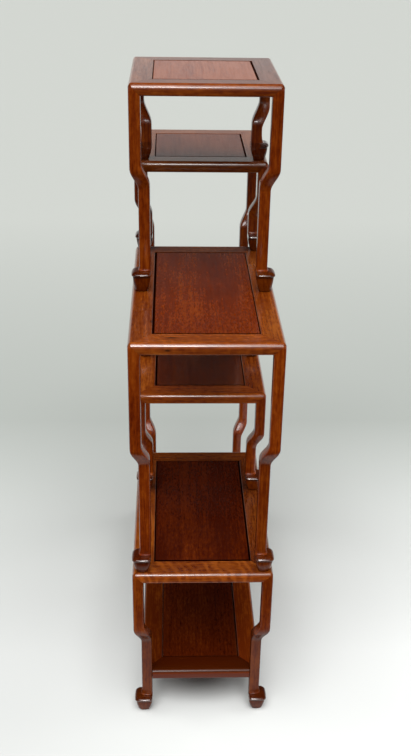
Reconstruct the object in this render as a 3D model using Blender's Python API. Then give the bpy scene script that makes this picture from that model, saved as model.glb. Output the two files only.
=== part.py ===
"""Stepped hardwood display stand: six framed shelves on twenty bent legs with scrolled feet.

Metres, +Z up. X runs along the stand, the front faces -Y, and the origin is on the floor under the middle.
Shelf 1 is the lowest and shelf 6 the highest. Shelves 2 and 4 start at the right end, 1 runs right through,
3 and 5 start at the left end, and 6 stands half on 4 and half on 5.
"""
from collections import namedtuple
from math import cos, pi, sin, sqrt

import bmesh
import bpy
from mathutils import Matrix, Vector

# Overall sizes
LENGTH = 0.772
DEPTH = 0.286

# Height of the lowest shelf's top, then the rise from each shelf to the next
SHELF_1_HEIGHT = 0.104
RISE_2 = 0.271
RISE_3 = 0.251
RISE_4 = 0.261
RISE_5 = 0.200
RISE_6 = 0.206

# Shelf lengths, and how far a shelf reaches over the one that carries its short legs
SHELF_2_LENGTH = 0.475
SHELF_3_LAP = 0.178
SHELF_4_LENGTH = 0.517
SHELF_5_EDGE = 0.0025
SHELF_6_LAP = 0.050
SHELF_6_LENGTH = 0.289

# Legs: a square section that bends inwards both ways, its inner faces above its outer ones
LEG = 0.023
SET_IN = 0.0155
BEND_HEIGHT = 0.046
BEND_LAG = 0.010
BEND_STEPS = 9

# Where each pair of legs bends, as a share of its height
BEND_SHELF_2 = 0.562
BEND_3_RIGHT = 0.528
BEND_3_LEFT = 0.454
BEND_4_RIGHT = 0.531
BEND_4_LEFT = 0.530
BEND_5_RIGHT = 0.495
BEND_5_LEFT = 0.533
BEND_6_RIGHT = 0.568
BEND_6_LEFT = 0.455

# Scrolled feet: a roll on the two outer faces, over a tapered toe that kicks outwards
FOOT_HEIGHT = 0.0375
FOOT_6_RIGHT_HEIGHT = 0.041
FOOT_FLARE = 0.0155
ROLL_HEIGHT = 0.006
ROLL_WIDTH = 0.0105
ROLL_EASE = 0.006
FOOT_TUCK = 0.001
TOE_OUT = 0.0085
TOE_BACK = 0.006
TOE_CURVE = 1.7
ROLL_STEPS = 4
TOE_STEPS = 4

# Frames: rails as thick as the legs, and wider by the land that holds the panel
RAIL_THICKNESS = 0.023
RAIL_LAND = 0.021
NOSE = 0.007
NOSE_STEPS = 3

# Floating panels: the lip above the tongue, the tongue in the groove, and the open line around the field
PANEL_LIP = 0.0045
PANEL_DROP = 0.0004
PANEL_LINE = 0.0013
TONGUE = 0.0055
TONGUE_REACH = 0.006
GROOVE_SPARE = 0.002

# Battens under the panels
BATTEN_WIDTH = 0.024
BATTEN_DROP = 0.002
KEY_HEIGHT = 0.003
KEY_WAIST = 0.014
KEY_TOP = 0.018

# Joints: the gap between touching pieces, the legs' square stubs, and how far tenons and cutters reach
GAP = 0.0003
STUB = 0.008
POST_REACH = 0.009
BATTEN_REACH = 0.006
CUT_PAST = 0.005

# Where a tenon starts and ends, as shares of the wood that holds it
HEAD_STUB_ACROSS_END = 0.60
HEAD_STUB_ACROSS_SIDE = 0.69
HEAD_STUB_COVER = 0.30
FOOT_STUB_DEPTH = 0.20
MITRE_TENON_ACROSS = (0.20, 0.80)
MITRE_TENON_UP = (0.20, 0.70)
MITRE_TENON_REACH = 0.60
POST_TENON_ACROSS = (0.35, 0.65)
POST_TENON_LOW = (0.85, 0.57)
POST_TENON_HIGH = (0.47, 0.20)
BATTEN_TENON_UP = (0.20, 0.70)
BATTEN_TENON_WIDTH = 0.66

RAIL_WIDTH = LEG + RAIL_LAND
GROOVE_DEPTH = TONGUE_REACH + GROOVE_SPARE
PANEL_THICKNESS = PANEL_LIP + TONGUE
HEAD_BLUNT = 0.45 * NOSE
FOOT_STUB = FOOT_STUB_DEPTH * RAIL_THICKNESS

Shelf = namedtuple("Shelf", "name left right depth top battens")


# Scene, materials and mesh helpers
def clear_scene():
    for obj in list(bpy.data.objects):
        bpy.data.objects.remove(obj, do_unlink=True)


def wood(name, colour, roughness):
    material = bpy.data.materials.new(name)
    material.use_nodes = True
    shader = material.node_tree.nodes["Principled BSDF"]
    shader.inputs["Base Color"].default_value = (*colour, 1.0)
    shader.inputs["Roughness"].default_value = roughness
    shader.inputs["Metallic"].default_value = 0.0
    return material


def group(name, height):
    empty = bpy.data.objects.new(name, None)
    empty.location = (0.0, 0.0, height)
    bpy.context.scene.collection.objects.link(empty)
    return empty


def finish_mesh(name, bm):
    bmesh.ops.recalc_face_normals(bm, faces=bm.faces[:])
    mesh = bpy.data.meshes.new(name)
    bm.to_mesh(mesh)
    bm.free()
    return mesh


def place(name, mesh, parent, location, turn, material):
    obj = bpy.data.objects.new(name, mesh)
    obj.parent = parent
    obj.location = location
    obj.rotation_euler = (0.0, 0.0, turn)
    bpy.context.scene.collection.objects.link(obj)
    if not mesh.materials:
        mesh.materials.append(material)
    return obj


def add_box(bm, low, high):
    low = Vector(low)
    size = Vector(high) - low
    matrix = Matrix.Translation(low + size / 2) @ Matrix.Diagonal((*size, 1.0))
    bmesh.ops.create_cube(bm, size=1.0, matrix=matrix)


def push(bm, face, by):
    """Extrude a face by a vector, leaving the face itself behind."""
    pushed = bmesh.ops.extrude_face_region(bm, geom=[face])
    moved = [item for item in pushed["geom"] if isinstance(item, bmesh.types.BMVert)]
    bmesh.ops.translate(bm, verts=moved, vec=by)


def add_prism(bm, outline, y_from, y_to):
    """Extrude an outline of (x, z) points along Y."""
    face = bm.faces.new([bm.verts.new((x, y_from, z)) for x, z in outline])
    push(bm, face, (0.0, y_to - y_from, 0.0))


def trim(bm, point, normal):
    """Cut away everything on the side of a plane that its normal points to, and close the cut."""
    everything = bm.verts[:] + bm.edges[:] + bm.faces[:]
    bmesh.ops.bisect_plane(bm, geom=everything, dist=1e-6, plane_co=point, plane_no=normal, clear_outer=True)
    bmesh.ops.holes_fill(bm, edges=[edge for edge in bm.edges if edge.is_boundary], sides=0)


def combine(target, operation, bm):
    """Cut a hidden tool away from a piece, or join it on."""
    mesh = finish_mesh(f"{operation.lower()}_{target.name}", bm)
    tool = bpy.data.objects.new(mesh.name, mesh)
    tool.hide_render = True
    tool.display_type = "WIRE"
    bpy.context.scene.collection.objects.link(tool)
    modifier = target.modifiers.new(operation.title(), "BOOLEAN")
    modifier.operation = operation
    modifier.solver = "EXACT"
    modifier.object = tool


def combine_boxes(target, operation, boxes):
    if not boxes:
        return
    bm = bmesh.new()
    for low, high in boxes:
        add_box(bm, low, high)
    combine(target, operation, bm)


# Boxes for the joints, measured from a shelf's corner: a inwards from the end, b inwards from the side
def corner_box(shelf, end, side, a, b, z):
    x_end = shelf.right if end > 0 else shelf.left
    xs = sorted(x_end - end * value for value in a)
    ys = sorted(side * (shelf.depth / 2 - value) for value in b)
    return (xs[0], ys[0], z[0]), (xs[1], ys[1], z[1])


def grown(box, by):
    low, high = box
    return tuple(value - by for value in low), tuple(value + by for value in high)


def head_stub(shelf, end, side, low):
    """The stub tenon on a leg's head, from a low level up to near the shelf's top."""
    a = HEAD_STUB_ACROSS_END * LEG
    b = HEAD_STUB_ACROSS_SIDE * LEG
    z = (low, shelf.top - HEAD_STUB_COVER * RAIL_THICKNESS)
    return corner_box(shelf, end, side, (a - STUB / 2, a + STUB / 2), (b - STUB / 2, b + STUB / 2), z)


def foot_stub(shelf, end, side, base):
    """The stub tenon under a foot that stands at a base level."""
    middle = SET_IN + (LEG - TOE_OUT - TOE_BACK) / 2
    span = (middle - STUB / 2, middle + STUB / 2)
    return corner_box(shelf, end, side, span, span, (base - FOOT_STUB, base + CUT_PAST))


def mitre_tenon(shelf, end, side):
    """The tenon that a long rail pushes into an end rail, inside the leg's line and under the groove."""
    width = RAIL_LAND - GROOVE_DEPTH
    b = [LEG + share * width for share in MITRE_TENON_ACROSS]
    a = (b[0] - MITRE_TENON_REACH * LEG, b[1] + CUT_PAST)
    under = RAIL_THICKNESS - PANEL_THICKNESS
    z = [shelf.top - RAIL_THICKNESS + share * under for share in MITRE_TENON_UP]
    return corner_box(shelf, end, side, a, b, z)


def post_tenon(shelf, end, side, along_x):
    """A rail's tenon into the floor leg at a corner: high from the end rails, low from the long ones."""
    across = [share * LEG for share in POST_TENON_ACROSS]
    reach = (LEG - POST_REACH, LEG + CUT_PAST)
    shares = POST_TENON_LOW if along_x else POST_TENON_HIGH
    z = [shelf.top - share * RAIL_THICKNESS for share in shares]
    if along_x:
        return corner_box(shelf, end, side, reach, across, z)
    return corner_box(shelf, end, side, across, reach, z)


# Pieces
def nose_points():
    """The rounded outer top edge, as (inwards, down) from the sharp edge."""
    angles = [pi / 2 * step / NOSE_STEPS for step in range(NOSE_STEPS + 1)]
    return [(NOSE * (1 - cos(angle)), NOSE * (1 - sin(angle))) for angle in angles]


def rail_mesh(name, length, heads):
    """A mitred rail along X, its outer edge on the X axis and its top at z = 0, grooved for the panel."""
    groove_top = PANEL_LIP - GAP
    groove_low = PANEL_THICKNESS + GAP
    outline = nose_points()
    outline += [(RAIL_WIDTH, 0.0), (RAIL_WIDTH, groove_top), (RAIL_WIDTH - GROOVE_DEPTH, groove_top)]
    outline += [(RAIL_WIDTH - GROOVE_DEPTH, groove_low), (RAIL_WIDTH, groove_low)]
    outline += [(RAIL_WIDTH, RAIL_THICKNESS), (0.0, RAIL_THICKNESS)]
    bm = bmesh.new()
    ends = []
    for direction in (-1, 1):
        ring = []
        for inwards, down in outline:
            reach = length / 2 - inwards - GAP * sqrt(0.5)
            ring.append(bm.verts.new((direction * reach, inwards, -down)))
        ends.append(ring)
        bm.faces.new(ring)
    count = len(outline)
    for index in range(count):
        after = (index + 1) % count
        bm.faces.new((ends[0][index], ends[0][after], ends[1][after], ends[1][index]))
    if heads:
        # The mitre that the leg's head rises into, from the sharp corner down to the leg's inner face
        for direction in (-1, 1):
            normal = Vector((direction * RAIL_THICKNESS, 0.0, -LEG))
            trim(bm, Vector((direction * length / 2, 0.0, 0.0)), normal)
    return finish_mesh(name, bm)


def panel_mesh(name, length, width):
    """A floating panel centred on the origin, with a bare tongue all round; the rails' top is z = 0."""
    half_x = length / 2 + TONGUE_REACH
    half_y = width / 2 + TONGUE_REACH
    bm = bmesh.new()
    add_box(bm, (-half_x, -half_y, -PANEL_THICKNESS), (half_x, half_y, -PANEL_LIP))
    bm.faces.ensure_lookup_table()
    field = max(bm.faces, key=lambda face: face.calc_center_median().z)
    bmesh.ops.inset_region(bm, faces=[field], thickness=TONGUE_REACH + PANEL_LINE, use_even_offset=True)
    push(bm, field, (0.0, 0.0, PANEL_LIP - PANEL_DROP))
    bmesh.ops.delete(bm, geom=[field], context="FACES_ONLY")
    return finish_mesh(name, bm)


def batten_outline(gap):
    """A batten with its dovetail key, as (x, z) points below the rails' top, grown by a gap at the key."""
    top = -PANEL_THICKNESS - GAP
    low = -RAIL_THICKNESS + BATTEN_DROP
    outline = [(-BATTEN_WIDTH / 2, low), (BATTEN_WIDTH / 2, low), (BATTEN_WIDTH / 2, top)]
    outline += [(KEY_WAIST / 2 + gap, top), (KEY_TOP / 2 + gap, top + KEY_HEIGHT + gap)]
    outline += [(-KEY_TOP / 2 - gap, top + KEY_HEIGHT + gap), (-KEY_WAIST / 2 - gap, top)]
    outline += [(-BATTEN_WIDTH / 2, top)]
    return outline


def bent(height, centre):
    """How far along its bend a face is at a height: 0 above it and 1 below it."""
    share = min(max((centre + BEND_HEIGHT / 2 - height) / BEND_HEIGHT, 0.0), 1.0)
    return share * share * (3 - 2 * share)


def leg_sections(height, bend, foot):
    """Heights with the outer and inner edge of the square section there, from the head down to the toe."""
    sections = [(height - HEAD_BLUNT, 0.0, LEG)]
    span = BEND_HEIGHT + BEND_LAG
    for step in range(BEND_STEPS + 1):
        level = bend + span * (0.5 - step / BEND_STEPS)
        outer = SET_IN * bent(level, bend - BEND_LAG / 2)
        inner = LEG + SET_IN * bent(level, bend + BEND_LAG / 2)
        sections.append((level, outer, inner))
    sections.append((foot + GAP, SET_IN, SET_IN + LEG))
    proud = SET_IN - FOOT_FLARE
    roll_level = foot - ROLL_HEIGHT
    for step in range(ROLL_STEPS + 1):
        angle = pi / 2 * (1 + step / ROLL_STEPS)
        outer = proud + ROLL_WIDTH * (1 + cos(angle))
        sections.append((roll_level + ROLL_HEIGHT * sin(angle), outer, SET_IN + LEG))
    top = roll_level - FOOT_TUCK
    tuck = proud + FOOT_TUCK
    for step in range(TOE_STEPS + 1):
        share = (step / TOE_STEPS) ** TOE_CURVE
        outer = tuck + (SET_IN - TOE_OUT - tuck) * share
        sections.append((top * (1 - step / TOE_STEPS), outer, SET_IN + LEG - TOE_BACK * share))
    return sections


def leg_mesh(name, height, bend, foot, stub):
    """A leg in the corner of two planes: X and Y run inwards from the shelf's edges, Z up from the toe."""
    bm = bmesh.new()
    rings = []
    for level, outer, inner in leg_sections(height, bend, foot):
        corners = ((outer, outer), (inner, outer), (inner, inner), (outer, inner))
        rings.append([bm.verts.new((x, y, level)) for x, y in corners])
    for upper, lower in zip(rings, rings[1:]):
        for index in range(4):
            after = (index + 1) % 4
            bm.faces.new((upper[index], upper[after], lower[after], lower[index]))
    bm.faces.new(rings[0])
    toe = bm.faces.new(rings[-1])
    bmesh.ops.recalc_face_normals(bm, faces=bm.faces[:])
    if stub:
        toe_width = LEG + TOE_OUT - TOE_BACK
        bmesh.ops.inset_region(bm, faces=[toe], thickness=(toe_width - STUB) / 2, use_even_offset=True)
        push(bm, toe, (0.0, 0.0, -FOOT_STUB))
        bmesh.ops.delete(bm, geom=[toe], context="FACES_ONLY")
    # The scroll's two ends, eased back from the leg's inner faces
    for turn in (0, 1):
        end = Vector((SET_IN + LEG - ROLL_EASE, SET_IN - FOOT_FLARE, 0.0))
        away = Vector((1.0, -1.0, 0.0))
        trim(bm, end.yxz if turn else end, away.yxz if turn else away)
    # The mitred head, held inside the rails' rounded edges
    clear = GAP * sqrt(2)
    nose = nose_points()
    for turn in (0, 1):
        mitre = Vector((RAIL_THICKNESS, 0.0, LEG))
        trim(bm, Vector((0.0, 0.0, height - clear)), mitre.yxz if turn else mitre)
        for (in_1, down_1), (in_2, down_2) in zip(nose, nose[1:]):
            outwards = Vector((down_2 - down_1, 0.0, in_2 - in_1))
            on_edge = Vector((in_1, 0.0, height - down_1))
            trim(bm, on_edge.yxz if turn else on_edge, outwards.yxz if turn else outwards)
    bmesh.ops.remove_doubles(bm, verts=bm.verts[:], dist=1e-5)
    return finish_mesh(name, bm)


# Shelves, from the lowest up
clear_scene()
RIGHT = LENGTH / 2
LEFT = -LENGTH / 2
top_1 = SHELF_1_HEIGHT
top_2 = top_1 + RISE_2
top_3 = top_2 + RISE_3
top_4 = top_3 + RISE_4
top_5 = top_4 + RISE_5
top_6 = top_5 + RISE_6
left_2 = RIGHT - SHELF_2_LENGTH
left_4 = RIGHT - SHELF_4_LENGTH
right_5 = left_4 + SET_IN + LEG + SHELF_5_EDGE
left_6 = right_5 - SHELF_6_LAP
shelf_1 = Shelf("shelf_1", LEFT + SET_IN, RIGHT - SET_IN, DEPTH - 2 * SET_IN, top_1, 2)
shelf_2 = Shelf("shelf_2", left_2, RIGHT, DEPTH, top_2, 1)
shelf_3 = Shelf("shelf_3", LEFT, left_2 + SHELF_3_LAP, DEPTH, top_3, 1)
shelf_4 = Shelf("shelf_4", left_4, RIGHT, DEPTH, top_4, 1)
shelf_5 = Shelf("shelf_5", LEFT, right_5, DEPTH, top_5, 1)
shelf_6 = Shelf("shelf_6", left_6, left_6 + SHELF_6_LENGTH, DEPTH, top_6, 1)
SHELVES = (shelf_1, shelf_2, shelf_3, shelf_4, shelf_5, shelf_6)

# Leg pairs: the shelf they carry, its end, the shelf they stand on (None is the floor), their bend and foot height
LEG_PAIRS = (
    (shelf_2, 1, None, BEND_SHELF_2, FOOT_HEIGHT),
    (shelf_2, -1, None, BEND_SHELF_2, FOOT_HEIGHT),
    (shelf_3, 1, shelf_2, BEND_3_RIGHT, FOOT_HEIGHT),
    (shelf_3, -1, None, BEND_3_LEFT, FOOT_HEIGHT),
    (shelf_4, 1, shelf_2, BEND_4_RIGHT, FOOT_HEIGHT),
    (shelf_4, -1, shelf_3, BEND_4_LEFT, FOOT_HEIGHT),
    (shelf_5, 1, shelf_4, BEND_5_RIGHT, FOOT_HEIGHT),
    (shelf_5, -1, shelf_3, BEND_5_LEFT, FOOT_HEIGHT),
    (shelf_6, 1, shelf_4, BEND_6_RIGHT, FOOT_6_RIGHT_HEIGHT),
    (shelf_6, -1, shelf_5, BEND_6_LEFT, FOOT_HEIGHT),
)

ENDS = {1: "right", -1: "left"}
SIDES = {1: "back", -1: "front"}
rail_wood = wood("rail_wood", (0.150, 0.050, 0.028), 0.32)
panel_wood = wood("panel_wood", (0.085, 0.028, 0.020), 0.36)
leg_wood = wood("leg_wood", (0.170, 0.060, 0.032), 0.34)
batten_wood = wood("batten_wood", (0.110, 0.042, 0.026), 0.50)

rails = {}
cuts = {}
joins = {}
legs = {}

# Frames, panels and battens
for shelf in SHELVES:
    parent = group(shelf.name, shelf.top)
    length = shelf.right - shelf.left
    middle = (shelf.right + shelf.left) / 2
    heads = shelf is not shelf_1
    long_mesh = rail_mesh(f"{shelf.name}_long_rail", length, heads)
    end_mesh = rail_mesh(f"{shelf.name}_end_rail", shelf.depth, heads)
    for side, word in SIDES.items():
        spot = (middle, side * shelf.depth / 2, 0.0)
        turn = pi if side > 0 else 0.0
        name = f"{shelf.name}_{word}_rail"
        rails[shelf.name, word] = place(name, long_mesh, parent, spot, turn, rail_wood)
    for end, word in ENDS.items():
        spot = (shelf.right if end > 0 else shelf.left, 0.0, 0.0)
        name = f"{shelf.name}_{word}_rail"
        rails[shelf.name, word] = place(name, end_mesh, parent, spot, end * pi / 2, rail_wood)
    open_length = length - 2 * RAIL_WIDTH
    open_width = shelf.depth - 2 * RAIL_WIDTH
    field_mesh = panel_mesh(f"{shelf.name}_panel", open_length, open_width)
    panel = place(f"{shelf.name}_panel", field_mesh, parent, (middle, 0.0, 0.0), 0.0, panel_wood)
    keyway = bmesh.new()
    for index in range(shelf.battens):
        x = middle + open_length * ((index + 0.5) / shelf.battens - 0.5)
        half = open_width / 2 - GAP
        bm = bmesh.new()
        add_prism(bm, batten_outline(0.0), -half, half)
        name = f"{shelf.name}_batten_{index + 1}" if shelf.battens > 1 else f"{shelf.name}_batten"
        batten = place(name, finish_mesh(name, bm), parent, (x, 0.0, 0.0), 0.0, batten_wood)
        low = shelf.top - RAIL_THICKNESS + BATTEN_DROP
        thickness = RAIL_THICKNESS - BATTEN_DROP - PANEL_THICKNESS
        z_low, z_high = [low + share * thickness for share in BATTEN_TENON_UP]
        reach = open_width / 2 + BATTEN_REACH
        half_bar = BATTEN_TENON_WIDTH * BATTEN_WIDTH / 2
        bar = (x - half_bar, -reach, z_low), (x + half_bar, reach, z_high)
        combine_boxes(batten, "UNION", [bar])
        for word in SIDES.values():
            cuts.setdefault((shelf.name, word), []).append(grown(bar, GAP))
        outline = [(x + along, shelf.top + level) for along, level in batten_outline(GAP)]
        add_prism(keyway, outline, -shelf.depth / 2, shelf.depth / 2)
    combine(panel, "DIFFERENCE", keyway)
    for end in ENDS:
        for side in SIDES:
            tenon = mitre_tenon(shelf, end, side)
            joins.setdefault((shelf.name, SIDES[side]), []).append(tenon)
            cuts.setdefault((shelf.name, ENDS[end]), []).append(grown(tenon, GAP))

# Legs, with the mortises they need above and below
for shelf, end, support, bend_share, foot in LEG_PAIRS:
    base = support.top + GAP if support else 0.0
    height = shelf.top - base
    mesh = leg_mesh(f"{shelf.name}_leg_{ENDS[end]}", height, bend_share * height, foot, support is not None)
    parent = bpy.data.objects[shelf.name]
    x_end = shelf.right if end > 0 else shelf.left
    for side, word in SIDES.items():
        turn = {(-1, -1): 0.0, (1, -1): pi / 2, (1, 1): pi, (-1, 1): -pi / 2}[end, side]
        spot = (x_end, side * shelf.depth / 2, base - shelf.top)
        leg = place(f"{shelf.name}_leg_{ENDS[end]}_{word}", mesh, parent, spot, turn, leg_wood)
        legs[shelf.name, end, side] = leg
        combine_boxes(leg, "UNION", [head_stub(shelf, end, side, shelf.top - RAIL_THICKNESS)])
        head_mortise = grown(head_stub(shelf, end, side, shelf.top - RAIL_THICKNESS - CUT_PAST), GAP)
        cuts[shelf.name, word].append(head_mortise)
        cuts[shelf.name, ENDS[end]].append(head_mortise)
        if support:
            toe_mortise = grown(foot_stub(shelf, end, side, base), GAP)
            cuts[support.name, word].append(toe_mortise)
            for support_end, support_word in ENDS.items():
                edge = support.right if support_end > 0 else support.left
                if abs(edge - (x_end - end * (SET_IN + LEG / 2))) < RAIL_WIDTH + LEG:
                    cuts[support.name, support_word].append(toe_mortise)
        else:
            # A floor leg passes shelf 1, which is notched around it
            at_corner = abs(x_end) > RIGHT - SET_IN
            outside = SET_IN - CUT_PAST
            a = (outside if at_corner else SET_IN - GAP, SET_IN + LEG + GAP)
            z = (shelf_1.top - RAIL_THICKNESS - CUT_PAST, shelf_1.top + CUT_PAST)
            notch = corner_box(shelf, end, side, a, (outside, SET_IN + LEG + GAP), z)
            cuts[shelf_1.name, word].append(notch)
            if at_corner:
                cuts[shelf_1.name, ENDS[end]].append(notch)

# Shelf 1's rails are tenoned into the four corner legs that pass it
for end, carried in ((1, shelf_2), (-1, shelf_3)):
    for side, word in SIDES.items():
        long_tenon = post_tenon(shelf_1, end, side, True)
        end_tenon = post_tenon(shelf_1, end, side, False)
        joins[shelf_1.name, word].append(long_tenon)
        joins.setdefault((shelf_1.name, ENDS[end]), []).append(end_tenon)
        mortises = [grown(long_tenon, GAP), grown(end_tenon, GAP)]
        combine_boxes(legs[carried.name, end, side], "DIFFERENCE", mortises)

for key, rail in rails.items():
    combine_boxes(rail, "DIFFERENCE", cuts.get(key, []))
    combine_boxes(rail, "UNION", joins.get(key, []))
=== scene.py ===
"""Looks of the stepped rosewood display stand.

Metres, +Z up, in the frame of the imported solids. A finer piece stands for each solid, at the same size and
place: rails with rounded noses, panels set loose in their frames, bent legs with scrolled feet, and battens
underneath.
"""

import random
from collections import namedtuple
from math import cos, pi, sin

import bmesh
import bpy
from mathutils import Matrix, Vector


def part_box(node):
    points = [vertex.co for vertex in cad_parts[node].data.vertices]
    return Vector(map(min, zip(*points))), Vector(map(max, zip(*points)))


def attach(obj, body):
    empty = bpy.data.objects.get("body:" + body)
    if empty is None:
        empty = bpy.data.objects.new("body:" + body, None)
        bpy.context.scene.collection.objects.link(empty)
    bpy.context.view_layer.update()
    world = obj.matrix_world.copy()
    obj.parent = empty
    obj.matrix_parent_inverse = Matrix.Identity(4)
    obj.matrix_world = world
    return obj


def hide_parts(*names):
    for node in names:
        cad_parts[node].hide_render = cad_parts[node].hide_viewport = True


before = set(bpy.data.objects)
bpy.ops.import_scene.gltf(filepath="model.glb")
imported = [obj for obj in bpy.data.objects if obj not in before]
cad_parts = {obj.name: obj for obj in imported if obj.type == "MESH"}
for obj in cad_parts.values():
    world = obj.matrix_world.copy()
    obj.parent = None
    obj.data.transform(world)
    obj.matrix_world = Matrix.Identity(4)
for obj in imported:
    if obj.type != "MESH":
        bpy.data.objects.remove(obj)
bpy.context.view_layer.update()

Shelf = namedtuple("Shelf", "name left right front back top thickness rail_width")
Rail = namedtuple("Rail", "along_x outer inwards ends")
Section = namedtuple("Section", "level outer inner corner side arris")
Wood = namedtuple(
    "Wood", "dark middle light ring_scale distortion roughness specular coat streak fibre stretch",
)
draw = random.Random(11)

# Legs, as in the solids
LEG = 0.023
SET_IN = 0.0155
BEND_HEIGHT = 0.046
BEND_LAG = 0.010
BEND_STEPS = 20
LEG_ARRIS = 0.0034
ARRIS_FADE = 0.012
ARRIS_STEPS = 5
CROWN = 0.0006
SIDE_STEPS = 4
HEAD_STEPS = 4

# Scrolled feet, as in the solids, with a fillet (height and width) above the roll and eased edges
FOOT_HEIGHT = 0.0375
TALL_FOOT_HEIGHT = 0.041
FOOT_FLARE = 0.0155
FILLET = (0.0055, 0.0022)
SWEPT_FILLET = (0.0220, 0.0048)
FILLET_STEPS = 4
ROLL_HEIGHT = 0.006
ROLL_WIDTH = 0.0105
ROLL_LIP = 0.0025
ROLL_CORNER = 0.0075
ROLL_END = 0.0055
ROLL_STEPS = 9
ROLL_ROUNDING = 1.5
TOE_OUT = 0.0085
TOE_BACK = 0.006
TOE_CURVE = 1.7
TOE_CORNER = 0.0070
TOE_END = 0.0050
TOE_EASE = 0.0026
TOE_STEPS = 7
EASE_STEPS = 3

# Frames, the lowest of them notched for legs
SHELF_COUNT = 6
LOWEST = "shelf_1"
NOSE_IN = 0.007
NOSE_DOWN = 0.011
NOSE_STEPS = 10
TOP_CORNER = 0.0075
CORNER_FADE = 0.020
CORNER_STEPS = 5
LEAST_RADIUS = 0.0006
FACE_STEPS = 6
UNDER_ARRIS = 0.0030
UNDER_STEPS = 4
INNER_EASE = 0.0005
INNER_SLOPE_WIDTH = 0.0012
INNER_SLOPE = 0.12
JOINT = 0.0001
NOTCH_OVERRUN = 0.005

# Panels: the field's line to the rails, its drop below them, its lip above the tongue
PANEL_LINE = 0.0021
PANEL_DROP = 0.0002
PANEL_LIP = 0.0085
PANEL_THICKNESS = 0.010
PANEL_EASE = 0.0007
PANEL_EASE_WIDTH = 0.0014
PANEL_EASE_STEPS = 4
PANEL_SLIT = 0.00015
SEAM_MARGIN = PANEL_EASE / 50

# Battens
BATTEN_EASE = 0.0015

# Meshes: tolerances of cuts and welds, and the angle from which an edge stays sharp
CUT_TOLERANCE = 1e-6
WELD_DISTANCE = 2e-6
SHARP_ANGLE = 0.6

# How far each panel's field has slid in its frame, as the dark lines around it show
PANEL_SLIDE = {
    "shelf_1": (0.0002, -0.0008),
    "shelf_2": (-0.0012, -0.0006),
    "shelf_3": (0.0004, 0.0010),
    "shelf_4": (0.0003, 0.0013),
    "shelf_5": (-0.0004, -0.0009),
    "shelf_6": (0.0004, -0.0013),
}

# Leg pairs: shelf carried, its end, shelf they stand on, bend as a share of height, foot height, fillet above
LEG_PAIRS = (
    ("shelf_2", "right", None, 0.562, FOOT_HEIGHT, FILLET),
    ("shelf_2", "left", None, 0.562, FOOT_HEIGHT, FILLET),
    ("shelf_3", "right", "shelf_2", 0.528, FOOT_HEIGHT, FILLET),
    ("shelf_3", "left", None, 0.454, FOOT_HEIGHT, FILLET),
    ("shelf_4", "right", "shelf_2", 0.531, FOOT_HEIGHT, FILLET),
    ("shelf_4", "left", "shelf_3", 0.530, FOOT_HEIGHT, FILLET),
    ("shelf_5", "right", "shelf_4", 0.495, FOOT_HEIGHT, FILLET),
    ("shelf_5", "left", "shelf_3", 0.533, FOOT_HEIGHT, FILLET),
    ("shelf_6", "right", "shelf_4", 0.568, TALL_FOOT_HEIGHT, FILLET),
    ("shelf_6", "left", "shelf_5", 0.455, FOOT_HEIGHT, SWEPT_FILLET),
)

# Woods: dark, middle and light colour, rings, polish, weights of streaks and fibres, stretch of the fibres
RAIL_WOOD = Wood(
    (0.070, 0.0090, 0.0006), (0.140, 0.0275, 0.0022), (0.235, 0.060, 0.0060), ring_scale=52.0, distortion=7.0,
    roughness=0.22, specular=0.50, coat=0.40, streak=0.55, fibre=0.45, stretch=0.06,
)
LEG_WOOD = Wood(
    (0.060, 0.0055, 0.0003), (0.120, 0.0170, 0.0008), (0.200, 0.040, 0.0030), ring_scale=60.0, distortion=6.0,
    roughness=0.20, specular=0.42, coat=0.20, streak=0.55, fibre=0.45, stretch=0.06,
)
PANEL_WOOD = Wood(
    (0.038, 0.0035, 0.0003), (0.082, 0.0105, 0.0009), (0.150, 0.029, 0.0030), ring_scale=45.0, distortion=8.0,
    roughness=0.20, specular=0.40, coat=0.20, streak=0.30, fibre=0.52, stretch=0.20,
)
BATTEN_WOOD = Wood(
    (0.070, 0.016, 0.004), (0.120, 0.032, 0.009), (0.170, 0.052, 0.016), ring_scale=50.0, distortion=6.0,
    roughness=0.50, specular=0.30, coat=0.00, streak=0.55, fibre=0.45, stretch=0.06,
)

# Grain: axes along, across and through a piece, and how far a piece's place in the wood is drawn at random
GRAIN_X = (0, 1, 2)
GRAIN_Y = (1, 0, 2)
GRAIN_Z = (2, 0, 1)
GRAIN_SHIFTS = ((-2.0, 2.0), (0.03, 0.12), (0.02, 0.09))
TONE_SPREAD = 0.05

# Figures in the wood: scale, stretch along the grain, weight and range, and the level of their sum
LONG_STRETCH = 0.07
STREAK_SCALE = 210.0
FIBRE_SCALE = 520.0
PORE_SCALE = 1300.0
PORE_STRETCH = 0.035
PORE_RANGE = (0.60, 0.72)
CLOUD_SCALE = 14.0
CLOUD_STRETCH = 0.30
CLOUD_WEIGHT = 0.60
MOTTLE_SCALE = 170.0
MOTTLE_STRETCH = 0.45
MOTTLE_WEIGHT = 0.45
RING_WEIGHT = -0.06
RING_RANGE = (0.45, 1.0)
GRAIN_START = -0.015
MEAN_GRAIN = 0.48

# Where the dark, middle and light colour lie in the grain's range
DARK_STOP = 0.28
MIDDLE_STOP = 0.50
LIGHT_STOP = 0.72

# Marks on the wood: how strong they are, where knots fade, and their share of the dark or light colour
PORE_STRENGTH = 0.25
PORE_SHARE = 0.35
WEAR_STRENGTH = 0.35
WEAR_SHARE = 1.3
FLAME_SHARE = 1.5
KNOT_STRENGTH = 0.85
KNOT_RANGE = (0.3, 1.0)
KNOT_SHARE = 0.15
# Painted shade in the seams: how strong it is, and its share of the dark colour
SEAM_SHADE_STRENGTH = 0.92
SEAM_SHADE_SHARE = 0.12

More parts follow.
